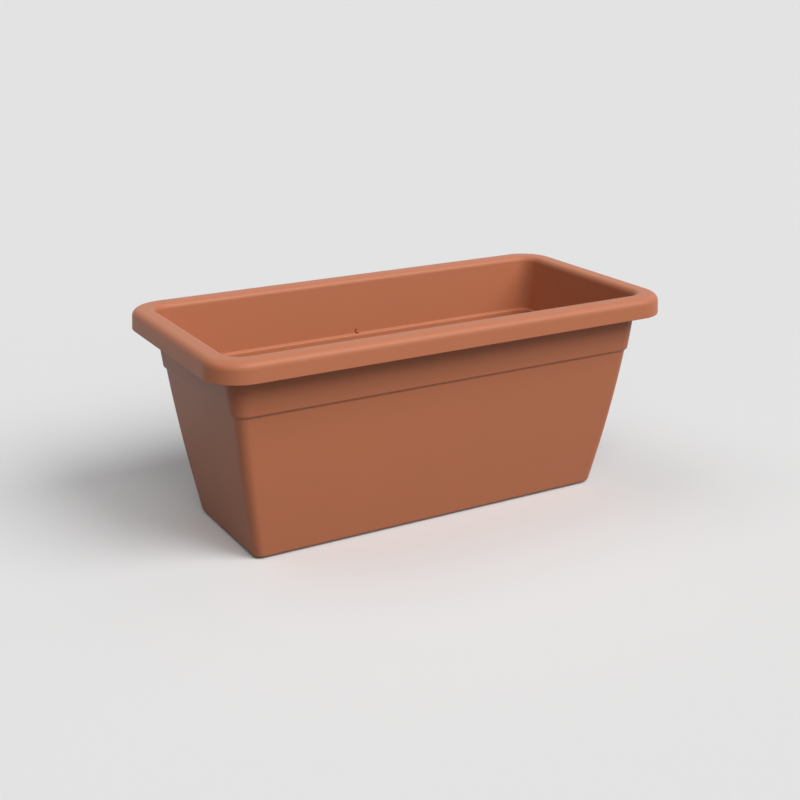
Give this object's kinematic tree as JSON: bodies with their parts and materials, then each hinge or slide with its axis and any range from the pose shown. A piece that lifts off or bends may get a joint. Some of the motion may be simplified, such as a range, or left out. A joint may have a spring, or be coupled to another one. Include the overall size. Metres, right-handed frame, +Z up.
{
  "type": "window box planter",
  "caption": "Rectangular moulded window box planter with a rolled rim, stepped collar, tapered walls, lift-out drainage grids over a water reservoir and push-in drain plugs.",
  "frame": {"origin": "on the ground, under the middle of the trough", "axes": "+Z up, +X along the trough to the right seen from the front, the front faces -Y"},
  "size_m": [0.5, 0.248, 0.2142],
  "materials": {
    "trough_plastic": "satin moulded plastic, terracotta",
    "grid_plastic": "matt moulded plastic, dark grey",
    "plug_rubber": "matt soft rubber, black"
  },
  "bodies": {
    "trough": {"trough_shell": "trough_plastic"},
    "left_grid": {"drainage_grid_left": "grid_plastic"},
    "right_grid": {"drainage_grid_right": "grid_plastic"},
    "front_left_plug": {"drain_plug_front_left": "plug_rubber"},
    "front_right_plug": {"drain_plug_front_right": "plug_rubber"},
    "back_left_plug": {"drain_plug_back_left": "plug_rubber"},
    "back_right_plug": {"drain_plug_back_right": "plug_rubber"}
  },
  "joints": [
    {"name": "left_grid_lift", "type": "slide", "parent": "trough", "child": "left_grid", "axis": [0, 0, 1], "range_m": [0, 0.215]},
    {"name": "right_grid_lift", "type": "slide", "parent": "trough", "child": "right_grid", "axis": [0, 0, 1], "range_m": [0, 0.215]},
    {"name": "front_left_plug_pull", "type": "slide", "parent": "trough", "child": "front_left_plug", "axis": [0, 0, 1], "range_m": [0, 0.016]},
    {"name": "front_right_plug_pull", "type": "slide", "parent": "trough", "child": "front_right_plug", "axis": [0, 0, 1], "range_m": [0, 0.016]},
    {"name": "back_left_plug_pull", "type": "slide", "parent": "trough", "child": "back_left_plug", "axis": [0, 0, 1], "range_m": [0, 0.016]},
    {"name": "back_right_plug_pull", "type": "slide", "parent": "trough", "child": "back_right_plug", "axis": [0, 0, 1], "range_m": [0, 0.016]}
  ]
}
